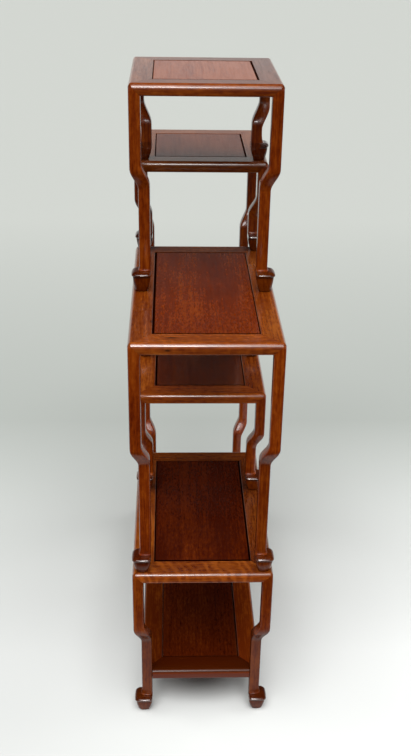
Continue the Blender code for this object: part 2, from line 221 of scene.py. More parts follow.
# Polish: how its roughness varies over the streaks and in seams, its clear coat, and the relief of the grain
STREAK_RANGE = (0.3, 0.7)
ROUGHER = 0.05
SMOOTHER = 0.04
SEAM_ROUGHNESS = 0.5
COAT_ROUGHNESS = 0.12
BUMP_STRENGTH = 0.03
BUMP_DEPTH = 0.0003

# Flame figure: slanted wavy bands, and the patches that they come in
FLAME_SLANT = 0.5
FLAME_SCALE = 19.0
FLAME_DISTORTION = 9.0
FLAME_RANGE = (0.30, 0.95)
PATCH_SCALE = 22.0
PATCH_RANGE = (0.40, 0.62)
PATCH_STRENGTHS = (0.1, 0.62)

# How much painted shade and duller polish lie in the line round each panel, and in the crease under a foot's
# roll
SEAMS = {"shelf_1": 0.2, "shelf_2": 1.0, "shelf_3": 1.0, "shelf_4": 1.0, "shelf_5": 0.8, "shelf_6": 0.8}
CREASE = 0.8

# Feet: gloss and painted shade of the roll, painted shade of the rest, as shares of the leg's own, and wear
# under the roll
ROLL_SHINE = 5.0
ROLL_SHADE = 0.34
FOOT_SHADE = 0.60
ROLL_WEAR = 0.4

# Pieces that differ from the rest: how their names start, tone, shade and gloss
# The shade is partly each board's own tone and partly painted light and shade
PIECE_LOOKS = (
    ("shelf_1_panel", -0.05, 0.66, 0.45),
    ("shelf_1_right_rail", -0.26, 0.42, 0.28),
    ("shelf_1_back_rail", -0.20, 1.28, 0.28),
    ("shelf_1_", -0.20, 0.80, 0.28),
    ("shelf_2_leg_right", 0.00, 0.90, 0.40),
    ("shelf_2_panel", -0.15, 0.88, 0.38),
    ("shelf_2_right_rail", 0.00, 0.88, 1.00),
    ("shelf_2_back_rail", 0.00, 0.78, 1.00),
    ("shelf_3_panel", 0.10, 1.05, 2.00),
    ("shelf_3_", 0.00, 1.62, 0.90),
    ("shelf_4_leg_right_back", 0.04, 1.22, 0.45),
    ("shelf_4_leg_right", 0.00, 1.18, 0.45),
    ("shelf_4_panel", 0.08, 1.22, 0.55),
    ("shelf_4_right_rail", 0.00, 1.14, 1.35),
    ("shelf_4_left_rail", 0.00, 0.95, 0.55),
    ("shelf_5_right_rail", 0.00, 0.66, 1.50),
    ("shelf_5_leg", 0.00, 1.00, 1.00),
    ("shelf_5_", 0.08, 0.85, 1.15),
    ("shelf_6_leg_right", 0.00, 1.04, 0.38),
    ("shelf_6_panel", 0.22, 1.62, 1.00),
    ("shelf_6_left_rail", -0.10, 1.00, 1.00),
    ("shelf_6_right_rail", -0.05, 1.10, 0.85),
    ("shelf_6_front_rail", -0.05, 1.10, 1.00),
    ("shelf_6_back_rail", -0.10, 1.10, 1.00),
)

# Rails whose outer faces differ from their tops: gloss, and shade as painted light and shade, as shares of
# the piece's own
FACE_LOOKS = {
    "shelf_1_right_rail": (1.10, 2.70),
    "shelf_2_right_rail": (0.55, 1.70),
    "shelf_3_right_rail": (0.90, 1.12),
    "shelf_4_right_rail": (0.90, 1.12),
    "shelf_5_right_rail": (0.24, 1.00),
}

# Legs with painted shade below their bends
LOWER_SHADES = {
    "shelf_2_leg_right_front": 0.64,
    "shelf_2_leg_right_back": 0.65,
    "shelf_4_leg_right_back": 0.74,
}

# Boards whose grain is calmer than the rest, and boards with a flame figure
CONTRASTS = {"shelf_4_panel": 0.80}
FIGURES = {"shelf_2_right_rail": 0.55, "shelf_4_right_rail": 0.2}

# Knots in the rails: place and size
KNOTS = (
    ((0.386, -0.071, 0.8740), (0.006, 0.0085, 0.0035)),
    ((0.287, -0.1015, 0.887), (0.0070, 0.0040, 0.006)),
    ((0.360, -0.063, 0.887), (0.0050, 0.0160, 0.004)),
)

# Floor: how far it reaches, and where the part ahead of the stand begins
FLOOR_REACH = 3000.0
FLOOR_SPLIT = 0.64

# Floor paper: its colours far off, behind the stand, and near it on the left and right, and where they change
# The greyer back and the darker left of the paper are painted shade
PAPER_FAR = (0.365, 0.378, 0.357, 1.0)
PAPER_BEHIND = (0.289, 0.305, 0.287, 1.0)
PAPER_LEFT = (0.495, 0.506, 0.495, 1.0)
PAPER_RIGHT = (0.603, 0.614, 0.603, 1.0)
FAR_RANGE = (-1.0, -3.0)
NEAR_RANGE = (-0.9, 0.2)
SIDE_RANGE = (-0.5, 0.5)
PAPER_ROUGHNESS = 0.9
PAPER_SHINE = 0.1

# Light of the wall all round, by how far a look at it rises
WALL = (
    (-0.040, (0.020, 0.020, 0.020)),
    (-0.038, (0.680, 0.690, 0.675)),
    (0.140, (0.680, 0.690, 0.675)),
    (0.210, (0.360, 0.360, 0.350)),
    (0.265, (0.400, 0.400, 0.390)),
    (0.320, (0.060, 0.060, 0.060)),
    (0.400, (0.012, 0.012, 0.012)),
)

# Suns: the way towards them, how broad they are in radians, and their strength
SUNS = (
    ("overhead_light", (0.36, -0.05, 1.0), 0.9, 4.8),
    ("left_side_light", (-0.25, -1.0, 1.0), 0.5, 0.75),
    ("right_side_light", (-0.25, 1.0, 1.0), 0.5, 0.75),
)

# Softboxes: place, what they face, size, watts, and whether they show in the polish alone
SOFTBOXES = (
    ("left_softbox", (8.00, -0.15, 4.50), (0.2, -0.1, 0.8), (1.1, 2.3), 220.0, False),
    ("right_softbox", (8.00, 1.15, 4.50), (0.2, 0.1, 0.8), (1.4, 2.6), 44.0, False),
    ("high_softbox", (4.36, -0.20, 5.23), (0.0, 0.0, 1.1), (2.0, 1.6), 60.0, True),
)

# Camera, fitted to the photographed edges
CAMERA_PLACE = (1.9819, -0.0655, 1.6398)
CAMERA_TURN = 1.5312
CAMERA_PITCH = 0.4745
CAMERA_ROLL = 0.0178
CAMERA_LENS = 47.32
SENSOR = 36.0


# Reading the solids
def read_shelf(name):
    left_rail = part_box(f"{name}_left_rail")
    right_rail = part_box(f"{name}_right_rail")
    front_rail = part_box(f"{name}_front_rail")
    back_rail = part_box(f"{name}_back_rail")
    return Shelf(
        name,
        left=left_rail[0].x,
        right=right_rail[1].x,
        front=front_rail[0].y,
        back=back_rail[1].y,
        top=front_rail[1].z,
        thickness=front_rail[1].z - front_rail[0].z,
        rail_width=right_rail[1].x - right_rail[0].x,
    )


# Mesh helpers
def trim(bm, point, normal):
    """Cut away what lies on the side of a plane that its normal points to, and close the cut."""
    everything = bm.verts[:] + bm.edges[:] + bm.faces[:]
    bmesh.ops.bisect_plane(
        bm, geom=everything, dist=CUT_TOLERANCE, plane_co=point, plane_no=normal, clear_outer=True,
    )
    bmesh.ops.holes_fill(bm, edges=[edge for edge in bm.edges if edge.is_boundary], sides=0)


def loft(bm, rings):
    """Join rings of points into one closed body."""
    made = [[bm.verts.new(point) for point in ring] for ring in rings]
    for lower, upper in zip(made, made[1:]):
        for index in range(len(lower)):
            after = (index + 1) % len(lower)
            bm.faces.new((lower[index], lower[after], upper[after], upper[index]))
    bm.faces.new(made[0])
    bm.faces.new(made[-1])


def quarter(steps):
    """Angles through a quarter turn."""
    return [pi / 2 * step / steps for step in range(steps + 1)]


def smooth_step(share):
    share = min(max(share, 0.0), 1.0)
    return share * share * (3 - 2 * share)


def rounded_rectangle(low, high, radii):
    """Points of a rectangle with its own radius at each corner, starting at the low corner."""
    corners = (
        (low[0], low[1], 1, 1),
        (high[0], low[1], -1, 1),
        (high[0], high[1], -1, -1),
        (low[0], high[1], 1, -1),
    )
    points = []
    for index, ((x, y, side_x, side_y), radius) in enumerate(zip(corners, radii)):
        start = pi + index * pi / 2
        for turn in quarter(CORNER_STEPS):
            angle = start + turn
            points.append((x + radius * (side_x + cos(angle)), y + radius * (side_y + sin(angle))))
    return points


def crowned(points, crown):
    """The same outline with each straight side swelling out in a flat arc."""
    swollen = []
    per_corner = CORNER_STEPS + 1
    outward = (Vector((0, -1)), Vector((1, 0)), Vector((0, 1)), Vector((-1, 0)))
    for index in range(4):
        swollen += points[index * per_corner:(index + 1) * per_corner]
        start = Vector(points[(index + 1) * per_corner - 1])
        end = Vector(points[(index + 1) * per_corner % len(points)])
        for step in range(1, SIDE_STEPS):
            share = step / SIDE_STEPS
            swell = crown * (1 - (2 * share - 1) ** 2)
            swollen.append(tuple(start.lerp(end, share) + outward[index] * swell))
    return swollen


# Dressing a piece
def nowhere(place):
    return 0.0


def everywhere(place):
    return 1.0


def finish_piece(node, bm, grain_axes, material, wear=nowhere, seam=nowhere, shine=everywhere,
                 painted_light=everywhere):
    """Turn a mesh into the piece that stands for a solid, with its own place in the wood."""
    bmesh.ops.remove_doubles(bm, verts=bm.verts[:], dist=WELD_DISTANCE)
    bmesh.ops.recalc_face_normals(bm, faces=bm.faces[:])
    name = f"{node}_wood"
    mesh = bpy.data.meshes.new(name)
    bm.to_mesh(mesh)
    bm.free()
    dress(mesh, node, grain_axes, wear, seam, shine, painted_light)
    mesh.materials.append(material)
    mesh.shade_smooth()
    mesh.set_sharp_from_angle(angle=SHARP_ANGLE)
    obj = bpy.data.objects.new(name, mesh)
    bpy.context.scene.collection.objects.link(obj)
    modifier = obj.modifiers.new("Even_shading", "WEIGHTED_NORMAL")
    modifier.keep_sharp = True
    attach(obj, "root")
    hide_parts(node)
    return obj


def piece_look(node):
    """Tone, shade and gloss of a piece."""
    for start, tone, shade, gloss in PIECE_LOOKS:
        if node.startswith(start):
            return tone, shade, gloss
    return 0.0, 1.0, 1.0


def dress(mesh, node, grain_axes, wear, seam, shine, painted_light):
    """Give a mesh its wood: grain coordinates along, across and through it, and how its looks vary."""
    offset = Vector([draw.uniform(*reach) for reach in GRAIN_SHIFTS])
    tone, shade, gloss = piece_look(node)
    tone += draw.uniform(-TONE_SPREAD, TONE_SPREAD)
    places = [vertex.co.copy() for vertex in mesh.vertices]
    middle = sum(places, Vector()) / len(places)
    grain = []
    for place in places:
        grain += [place[axis] - middle[axis] + shift for axis, shift in zip(grain_axes, offset)]
    mesh.attributes.new("grain", "FLOAT_VECTOR", "POINT").data.foreach_set("vector", grain)
    values = {
        "tone": [tone] * len(places),
        "contrast": [CONTRASTS.get(node, 1.0)] * len(places),
        "figure": [FIGURES.get(node, 0.0)] * len(places),
        # Shade: each board's own tone, and painted light and shade on some pieces and parts
        "shade": [shade * painted_light(place) for place in places],
        "gloss": [gloss * shine(place) for place in places],
        "wear": [wear(place) for place in places],
        "seam": [seam(place) for place in places],
    }
    for key, numbers in values.items():
        mesh.attributes.new(key, "FLOAT", "POINT").data.foreach_set("value", numbers)


# Rails: cut from one rounded frame, so that their edges run on around each corner
def nose_profile():
    """The rounded top edge, as (down, inwards) from its foot up to the flat top."""
    return [(NOSE_DOWN * (1 - sin(angle)), NOSE_IN * (1 - cos(angle))) for angle in quarter(NOSE_STEPS)]


def corner_radius(down):
    """Plan radius of a frame's outer corner: softer at the top, a leg's arris below."""
    return LEG_ARRIS + (TOP_CORNER - LEG_ARRIS) * smooth_step(1 - down / CORNER_FADE)


def frame_profile(thickness):
    """A frame's outer face, as (down, inwards) from its underside to its top."""
    profile = []
    for angle in quarter(UNDER_STEPS):
        down = thickness - UNDER_ARRIS * (1 - cos(angle))
        profile.append((down, UNDER_ARRIS * (1 - sin(angle)) + CROWN))
    for step in range(1, FACE_STEPS):
        share = step / FACE_STEPS
        down = thickness - UNDER_ARRIS - (thickness - UNDER_ARRIS - NOSE_DOWN) * share
        profile.append((down, CROWN * (1 - share) ** 2))
    return profile + nose_profile()


def add_frame(bm, shelf):
    rings = []
    for down, inwards in frame_profile(shelf.thickness):
        low = (shelf.left + inwards, shelf.front + inwards)
        high = (shelf.right - inwards, shelf.back - inwards)
        radius = max(corner_radius(down) - inwards, LEAST_RADIUS)
        level = shelf.top - down
        rings.append([(x, y, level) for x, y in rounded_rectangle(low, high, (radius,) * 4)])
    loft(bm, rings)


def rail_lines(shelf, side):
    """A rail's direction, a point on its outer top edge, the way inwards to the panel, and its ends."""
    edge = getattr(shelf, side)
    sign = 1 if side in ("front", "left") else -1
    if side in ("front", "back"):
        return Rail(True, Vector((0, edge, shelf.top)), Vector((0, sign, 0)), (shelf.left, shelf.right))
    return Rail(False, Vector((edge, 0, shelf.top)), Vector((sign, 0, 0)), (shelf.front, shelf.back))


def rail_body(shelf, rail):
    """A frame cut back to one rail, with eased inner edges and mitred ends."""
    bm = bmesh.new()
    add_frame(bm, shelf)
    up = Vector((0, 0, 1))
    inwards = rail.inwards
    inner = rail.outer + inwards * shelf.rail_width
    trim(bm, inner, inwards)
    trim(bm, inner - inwards * INNER_SLOPE_WIDTH, inwards * INNER_SLOPE + up)
    trim(bm, inner - inwards * (2 * INNER_EASE), inwards + up)
    trim(bm, inner - inwards * INNER_EASE - up * shelf.thickness, inwards - up)
    for end, direction in zip(rail.ends, (-1, 1)):
        along = Vector((direction, 0, 0)) if rail.along_x else Vector((0, direction, 0))
        corner = rail.outer.copy()
        corner[0 if rail.along_x else 1] = end
        trim(bm, corner - along * JOINT, along + inwards)
        if shelf.name != LOWEST:
            # The mitre that the leg's head rises into
            trim(bm, corner - along * JOINT, along * shelf.thickness - up * LEG)
    return bm


def rail_piece(shelf, side, material):
    """One rail, worn along its nose, with painted shade along the panel. Its outer face may differ from its
    top in gloss and in painted light and shade.
    """
    node = f"{shelf.name}_{side}_rail"
    rail = rail_lines(shelf, side)
    bm = rail_body(shelf, rail)
    if shelf.name == LOWEST:
        notch(bm, shelf)
    face_gloss, face_shade = FACE_LOOKS.get(node, (1.0, 1.0))

    def from_edge(place):
        return (place - rail.outer).dot(rail.inwards)

    def on_face(place):
        return place.z < shelf.top - NOSE_DOWN / 2

    def wear(place):
        from_top = shelf.top - place.z
        if from_edge(place) >= NOSE_IN:
            return 0.0
        return smooth_step(1 - (from_edge(place) + from_top) / NOSE_DOWN)

    # Painted shade along the panel, on the rail's inner edge
    def seam(place):
        return SEAMS[shelf.name] if from_edge(place) > shelf.rail_width - INNER_EASE else 0.0

    def shine(place):
        return face_gloss if on_face(place) else 1.0

    # Painted light and shade on the outer face
    def painted_light(place):
        return face_shade if on_face(place) else 1.0

    axes = GRAIN_X if rail.along_x else GRAIN_Y
    return finish_piece(node, bm, axes, material, wear, seam, shine, painted_light)


# Notches in the lowest frame, where legs run past it to the floor
def notch(bm, shelf):
    """Cut the notches out of a rail's mesh."""
    rail = bpy.data.objects.new("uncut_rail", bpy.data.meshes.new("uncut_rail"))
    cutter = bpy.data.objects.new("notch_cutter", bpy.data.meshes.new("notch_cutter"))
    bmesh.ops.recalc_face_normals(bm, faces=bm.faces[:])
    bm.to_mesh(rail.data)
    boxes = bmesh.new()
    for carried, end, support, *shape in LEG_PAIRS:
        for side in ("front", "back"):
            if support is None:
                add_notch_box(boxes, read_shelf(carried), end, side, shelf)
    boxes.to_mesh(cutter.data)
    boxes.free()
    for obj in (rail, cutter):
        bpy.context.scene.collection.objects.link(obj)
    modifier = rail.modifiers.new("Notches", "BOOLEAN")
    modifier.object = cutter
    modifier.solver = "EXACT"
    cut = rail.evaluated_get(bpy.context.evaluated_depsgraph_get())
    bm.clear()
    bm.from_mesh(cut.to_mesh())
    cut.to_mesh_clear()
    for obj in (rail, cutter):
        mesh = obj.data
        bpy.data.objects.remove(obj)
        bpy.data.meshes.remove(mesh)


def leg_corner(shelf, end, side):
    """A shelf's corner over a leg: its X and the way inwards, its Y and the way inwards."""
    x_edge, x_sign = (shelf.right, -1) if end == "right" else (shelf.left, 1)
    y_edge, y_sign = (shelf.back, -1) if side == "back" else (shelf.front, 1)
    return x_edge, x_sign, y_edge, y_sign


def add_notch_box(bm, carried, end, side, shelf):
    """A box round one leg, open past the frame's outer face."""
    x_edge, x_sign, y_edge, y_sign = leg_corner(carried, end, side)
    near = SET_IN - (NOTCH_OVERRUN if is_end_leg(carried, end, shelf) else JOINT)
    far = SET_IN + LEG + JOINT
    x_range = (x_edge + x_sign * near, x_edge + x_sign * far)
    y_range = (y_edge + y_sign * (SET_IN - NOTCH_OVERRUN), y_edge + y_sign * far)
    low = Vector((min(x_range), min(y_range), shelf.top - shelf.thickness - NOTCH_OVERRUN))
    high = Vector((max(x_range), max(y_range), shelf.top + NOTCH_OVERRUN))
    size = Matrix.Diagonal((*(high - low), 1.0))
    bmesh.ops.create_cube(bm, size=1.0, matrix=Matrix.Translation((low + high) / 2) @ size)


def is_end_leg(carried, end, shelf):
    """Whether a leg stands at the lowest frame's own end, and not along its side."""
    edge = carried.right - SET_IN if end == "right" else carried.left + SET_IN
    own = shelf.right if end == "right" else shelf.left
    return abs(edge - own) < LEG


# Panels
def panel_levels():
    """A panel's outline from its underside up: depth, inset from the rails, and whether it slides."""
    levels = [
        (PANEL_THICKNESS, PANEL_SLIT + PANEL_EASE, 0),
        (PANEL_THICKNESS - PANEL_EASE, PANEL_SLIT, 0),
        (PANEL_LIP, PANEL_SLIT, 0),
        (PANEL_LIP, PANEL_LINE, 1),
    ]
    for angle in quarter(PANEL_EASE_STEPS):
        down = PANEL_DROP + PANEL_EASE * (1 - sin(angle))
        levels.append((down, PANEL_LINE + PANEL_EASE_WIDTH * (1 - cos(angle)), 1))
    return levels


def panel_piece(shelf, material):
    """A board with a bare tongue around it, the field above slid a little in its frame."""
    node = f"{shelf.name}_panel"
    x0 = shelf.left + shelf.rail_width
    x1 = shelf.right - shelf.rail_width
    y0 = shelf.front + shelf.rail_width
    y1 = shelf.back - shelf.rail_width
    slide_x, slide_y = PANEL_SLIDE[shelf.name]
    rings = []
    for down, inset, moves in panel_levels():
        low = (x0 + inset + moves * slide_x, y0 + inset + moves * slide_y)
        high = (x1 - inset + moves * slide_x, y1 - inset + moves * slide_y)
        outline = rounded_rectangle(low, high, (PANEL_EASE,) * 4)
        rings.append([(x, y, shelf.top - down) for x, y in outline])
    bm = bmesh.new()
    loft(bm, rings)

    # Painted shade in the line round the panel
    def seam(place):
        in_line = PANEL_DROP + SEAM_MARGIN < shelf.top - place.z < PANEL_LIP + PANEL_EASE
        return SEAMS[shelf.name] if in_line else 0.0

    return finish_piece(node, bm, GRAIN_X, material, seam=seam)


# Battens
def batten_piece(node, shelf, material):
    """The bar under a panel, with eased lower edges, from rail to rail."""
    low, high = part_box(node)
    y0 = shelf.front + shelf.rail_width + JOINT
    y1 = shelf.back - shelf.rail_width - JOINT
    top = shelf.top - PANEL_THICKNESS - JOINT
    outline = (
        (low.x, top),
        (low.x, low.z + BATTEN_EASE),
        (low.x + BATTEN_EASE, low.z),
        (high.x - BATTEN_EASE, low.z),
        (high.x, low.z + BATTEN_EASE),
        (high.x, top),
    )
    bm = bmesh.new()
    loft(bm, [[(x, y, z) for x, z in outline] for y in (y0, y1)])
    return finish_piece(node, bm, GRAIN_Y, material)


# Legs
def bent(level, centre):
    """How much of the bend a leg has made at a level."""
    return smooth_step((centre + BEND_HEIGHT / 2 - level) / BEND_HEIGHT)


def leg_sections(height, bend, foot, fillet, thickness):
    """Sections from the head down to the floor."""
    sections = []
    for down, inwards in reversed(nose_profile()[:-2]):
        corner = max(corner_radius(down) - inwards, LEAST_RADIUS)
        sections.append(Section(height - down, inwards, LEG, corner, JOINT, JOINT))
    for step in range(1, HEAD_STEPS + 1):
        down = NOSE_DOWN + (thickness - NOSE_DOWN) * (step / HEAD_STEPS)
        sections.append(Section(height - down, 0.0, LEG, corner_radius(down), JOINT, JOINT))
    for step in range(1, ARRIS_STEPS + 1):
        share = step / ARRIS_STEPS
        level = height - thickness - ARRIS_FADE * share
        radius = LEG_ARRIS * smooth_step(share)
        sections.append(Section(level, 0.0, LEG, LEG_ARRIS, radius, radius))
    for step in range(BEND_STEPS + 1):
        level = bend + (BEND_HEIGHT + BEND_LAG) * (0.5 - step / BEND_STEPS)
        outer = SET_IN * bent(level, bend - BEND_LAG / 2)
        inner = LEG + SET_IN * bent(level, bend + BEND_LAG / 2)
        sections.append(Section(level, outer, inner, LEG_ARRIS, LEG_ARRIS, LEG_ARRIS))
    return sections + fillet_sections(foot, *fillet) + roll_sections(foot) + toe_sections(foot)


def fillet_sections(foot, fillet_height, fillet_width):
    """The hollow from a leg's outer faces down to the roll."""
    sections = []
    for angle in quarter(FILLET_STEPS):
        outer = SET_IN - fillet_width * (1 - cos(angle))
        level = foot + fillet_height * (1 - sin(angle))
        sections.append(Section(level, outer, SET_IN + LEG, LEG_ARRIS, LEG_ARRIS, LEG_ARRIS))
    return sections


def roll_sections(foot):
    """The roll, out from the leg and in again under its lip."""
    sections = []
    inner = SET_IN + LEG
    proud = SET_IN - FOOT_FLARE
    roll_start = proud + ROLL_WIDTH
    roll_level = foot - ROLL_HEIGHT
    for step in range(ROLL_STEPS + 1):
        share = step / ROLL_STEPS
        angle = pi / 2 * (1 + share)
        outer = roll_start + ROLL_WIDTH * cos(angle)
        rounding = smooth_step(ROLL_ROUNDING * share)
        corner = LEG_ARRIS + (ROLL_CORNER - LEG_ARRIS) * rounding
        side = LEG_ARRIS + (ROLL_END - LEG_ARRIS) * rounding
        level = roll_level + ROLL_HEIGHT * sin(angle)
        sections.append(Section(level, outer, inner, corner, side, LEG_ARRIS))
    for angle in quarter(EASE_STEPS)[1:]:
        outer = proud + ROLL_LIP * (1 - cos(angle))
        level = roll_level - ROLL_LIP * sin(angle)
        sections.append(Section(level, outer, inner, ROLL_CORNER, ROLL_END, LEG_ARRIS))
    return sections


def toe_sections(foot):
    """The tapered toe under the roll, eased at the floor."""
    sections = []
    inner = SET_IN + LEG
    tuck = SET_IN - FOOT_FLARE + ROLL_LIP
    top = foot - ROLL_HEIGHT - ROLL_LIP
    for step in range(1, TOE_STEPS + 1):
        part = step / TOE_STEPS
        share = part ** TOE_CURVE
        outer = tuck + (SET_IN - TOE_OUT - tuck) * share
        corner = ROLL_CORNER + (TOE_CORNER - ROLL_CORNER) * share
        side = ROLL_END + (TOE_END - ROLL_END) * share
        level = TOE_EASE + (top - TOE_EASE) * (1 - part)
        sections.append(Section(level, outer, inner - TOE_BACK * share, corner, side, LEG_ARRIS))
    last = sections[-1]
    for angle in quarter(EASE_STEPS)[1:]:
        ease = TOE_EASE * (1 - cos(angle))
        level = TOE_EASE * (1 - sin(angle))
        sections.append(last._replace(level=level, outer=last.outer + ease, inner=last.inner - ease))
    return sections


def leg_body(sections, height, thickness):
    """A leg in the corner of two planes: X and Y run inwards from the shelf's edges."""
    rings = []
    for section in sections:
        low = (section.outer + CROWN, section.outer + CROWN)
        high = (section.inner - CROWN, section.inner - CROWN)
        radii = (section.corner, section.side, section.arris, section.side)
        outline = crowned(rounded_rectangle(low, high, radii), CROWN)
        rings.append([(x, y, section.level) for x, y in outline])
    bm = bmesh.new()
    loft(bm, rings)
    for along in (Vector((1, 0, 0)), Vector((0, 1, 0))):
        normal = along * thickness + Vector((0, 0, LEG))
        trim(bm, Vector((0, 0, height)) - along * JOINT, normal)
    return bm


def leg_piece(shelf, end, side, base, bend_share, foot, fillet, material):
    """A leg mirrored to its corner of a shelf, with a glossy roll on its foot, and painted shade on the roll,
    the toe and below the bend of some legs.
    """
    node = f"{shelf.name}_leg_{end}_{side}"
    height = shelf.top - base
    bend = bend_share * height
    bm = leg_body(leg_sections(height, bend, foot, fillet, shelf.thickness), height, shelf.thickness)
    x_edge, x_sign, y_edge, y_sign = leg_corner(shelf, end, side)
    for vertex in bm.verts:
        x, y, z = vertex.co
        vertex.co = (x_edge + x_sign * x, y_edge + y_sign * y, base + z)
    crease_level = foot - ROLL_HEIGHT - ROLL_LIP

    def proud(place):
        return min(abs(place.x - x_edge), abs(place.y - y_edge)) < SET_IN - JOINT

    def on_roll(place):
        return crease_level < place.z - base < foot + JOINT and proud(place)

    def wear(place):
        return ROLL_WEAR if foot - 2 * ROLL_HEIGHT < place.z - base < foot - ROLL_HEIGHT else 0.0

    # Painted shade in the crease under the roll
    def seam(place):
        return CREASE if abs(place.z - base - crease_level) < JOINT and proud(place) else 0.0

    def shine(place):
        return ROLL_SHINE if on_roll(place) else 1.0

    # Painted shade on the roll and the toe, and below the bend of some legs
    def painted_light(place):
        if on_roll(place):
            return ROLL_SHADE
        if place.z - base < foot + JOINT:
            return FOOT_SHADE
        return LOWER_SHADES.get(node, 1.0) if place.z - base < bend else 1.0

    return finish_piece(node, bm, GRAIN_Z, material, wear, seam, shine, painted_light)


# Node helpers
def add_node(tree, kind, sockets=None, **settings):
    made = tree.nodes.new(kind)
    for key, value in settings.items():
        setattr(made, key, value)
    for key, value in (sockets or {}).items():
        if isinstance(value, bpy.types.NodeSocket):
            tree.links.new(value, made.inputs[key])
        else:
            made.inputs[key].default_value = value
    return made


def attribute(tree, name, output="Fac"):
    return add_node(tree, "ShaderNodeAttribute", attribute_name=name).outputs[output]


def stretched(tree, grain, along):
    """Grain coordinates drawn out along the wood."""
    sockets = {0: grain, 1: (along, 1.0, 1.0)}
    return add_node(tree, "ShaderNodeVectorMath", sockets, operation="MULTIPLY").outputs[0]


def noise(tree, vector, scale, detail, roughness=0.55):
    sockets = {"Vector": vector, "Scale": scale, "Detail": detail, "Roughness": roughness}
    return add_node(tree, "ShaderNodeTexNoise", sockets).outputs[0]


def wave(tree, vector, scale, distortion, detail_scale, **kind):
    sockets = {
        "Vector": vector, "Scale": scale, "Distortion": distortion,
        "Detail": 3.0, "Detail Scale": detail_scale, "Detail Roughness": 0.6,
    }
    return add_node(tree, "ShaderNodeTexWave", sockets, wave_profile="SIN", **kind).outputs["Fac"]


def spread(tree, value, low, high, to_low, to_high):
    """A value's range mapped to another, and held at its ends."""
    sockets = {"Value": value, "From Min": low, "From Max": high, "To Min": to_low, "To Max": to_high}
    return add_node(tree, "ShaderNodeMapRange", sockets).outputs[0]


def weigh(tree, value, weight, plus=0.0):
    """A value times a weight, plus another."""
    sockets = {0: value, 1: weight, 2: plus}
    return add_node(tree, "ShaderNodeMath", sockets, operation="MULTIPLY_ADD").outputs[0]


def blend_colour(tree, factor, first, second, kind="MIX"):
    sockets = {0: factor, 6: first, 7: second}
    return add_node(tree, "ShaderNodeMix", sockets, data_type="RGBA", blend_type=kind).outputs[2]


def share_of(colour, share):
    return (*[share * part for part in colour], 1.0)


# Materials
def new_material(name):
    """An empty material, its node tree and its shader."""
    material = bpy.data.materials.new(name)
    material.use_nodes = True
    tree = material.node_tree
    return material, tree, tree.nodes["Principled BSDF"]


def rosewood(name, wood):
    """Polished rosewood: growth rings, streaks and pores along the grain, and paler worn edges."""
    material, tree, shader = new_material(name)
    grain = attribute(tree, "grain", "Vector")
    streaks = noise(tree, stretched(tree, grain, LONG_STRETCH), STREAK_SCALE, detail=4.0, roughness=0.6)
    fibres = noise(tree, stretched(tree, grain, wood.stretch), FIBRE_SCALE, detail=4.0, roughness=0.6)
    pores = noise(tree, stretched(tree, grain, PORE_STRETCH), PORE_SCALE, detail=2.0)
    open_pores = spread(tree, pores, *PORE_RANGE, 0.0, PORE_STRENGTH)
    level = grain_level(tree, grain, wood, streaks, fibres)
    bare = blend_colour(tree, open_pores, ramp_colour(tree, wood, level), share_of(wood.dark, PORE_SHARE))
    marked = add_marks(tree, grain, wood, streaks, bare)
    # Multiplied by the shade attribute: each board's own tone, and painted light and shade
    colour = blend_colour(tree, 1.0, marked, attribute(tree, "shade", "Color"), "MULTIPLY")
    tree.links.new(colour, shader.inputs["Base Color"])
    polish(tree, shader, wood, streaks)
    height = weigh(tree, open_pores, -1.0, fibres)
    sockets = {"Strength": BUMP_STRENGTH, "Distance": BUMP_DEPTH, "Height": height}
    bump = add_node(tree, "ShaderNodeBump", sockets)
    tree.links.new(bump.outputs["Normal"], shader.inputs["Normal"])
    return material


def grain_level(tree, grain, wood, streaks, fibres):
    """How light the wood is from place to place."""
    long_grain = stretched(tree, grain, LONG_STRETCH)
    rings = wave(
        tree, long_grain, wood.ring_scale, wood.distortion, detail_scale=0.6,
        wave_type="RINGS", rings_direction="X",
    )
    lines = spread(tree, rings, *RING_RANGE, 0.0, 1.0)
    clouds = noise(tree, stretched(tree, grain, CLOUD_STRETCH), CLOUD_SCALE, detail=3.0)
    mottle = noise(tree, stretched(tree, grain, MOTTLE_STRETCH), MOTTLE_SCALE, detail=3.0, roughness=0.6)
    level = weigh(tree, fibres, wood.fibre, GRAIN_START - wood.streak / 2 - wood.fibre / 2)
    level = weigh(tree, clouds, CLOUD_WEIGHT, level)
    level = weigh(tree, streaks, wood.streak, level)
    level = weigh(tree, mottle, MOTTLE_WEIGHT, level)
    level = weigh(tree, lines, RING_WEIGHT, level)
    from_mean = weigh(tree, level, 1.0, -MEAN_GRAIN)
    mean = weigh(tree, attribute(tree, "tone"), 1.0, MEAN_GRAIN)
    return weigh(tree, from_mean, attribute(tree, "contrast"), mean)


def ramp_colour(tree, wood, level):
    """The wood's colour from dark to light."""
    ramp = add_node(tree, "ShaderNodeValToRGB", {"Fac": level})
    stops = ramp.color_ramp.elements
    stops[0].position = DARK_STOP
    stops[0].color = (*wood.dark, 1.0)
    stops[1].position = LIGHT_STOP
    stops[1].color = (*wood.light, 1.0)
    stops.new(MIDDLE_STOP).color = (*wood.middle, 1.0)
    return ramp.outputs["Color"]


def add_marks(tree, grain, wood, streaks, colour):
    """The wood's colour with worn edges, flames and knots, and painted shade in the seams over it."""
    worn = weigh(tree, weigh(tree, attribute(tree, "wear"), streaks), WEAR_STRENGTH)
    seam = weigh(tree, attribute(tree, "seam"), SEAM_SHADE_STRENGTH)
    colour = blend_colour(tree, worn, colour, share_of(wood.light, WEAR_SHARE))
    colour = blend_colour(tree, flames(tree, grain), colour, share_of(wood.light, FLAME_SHARE))
    colour = blend_colour(tree, knots(tree), colour, share_of(wood.dark, KNOT_SHARE))
    return blend_colour(tree, seam, colour, share_of(wood.dark, SEAM_SHADE_SHARE))


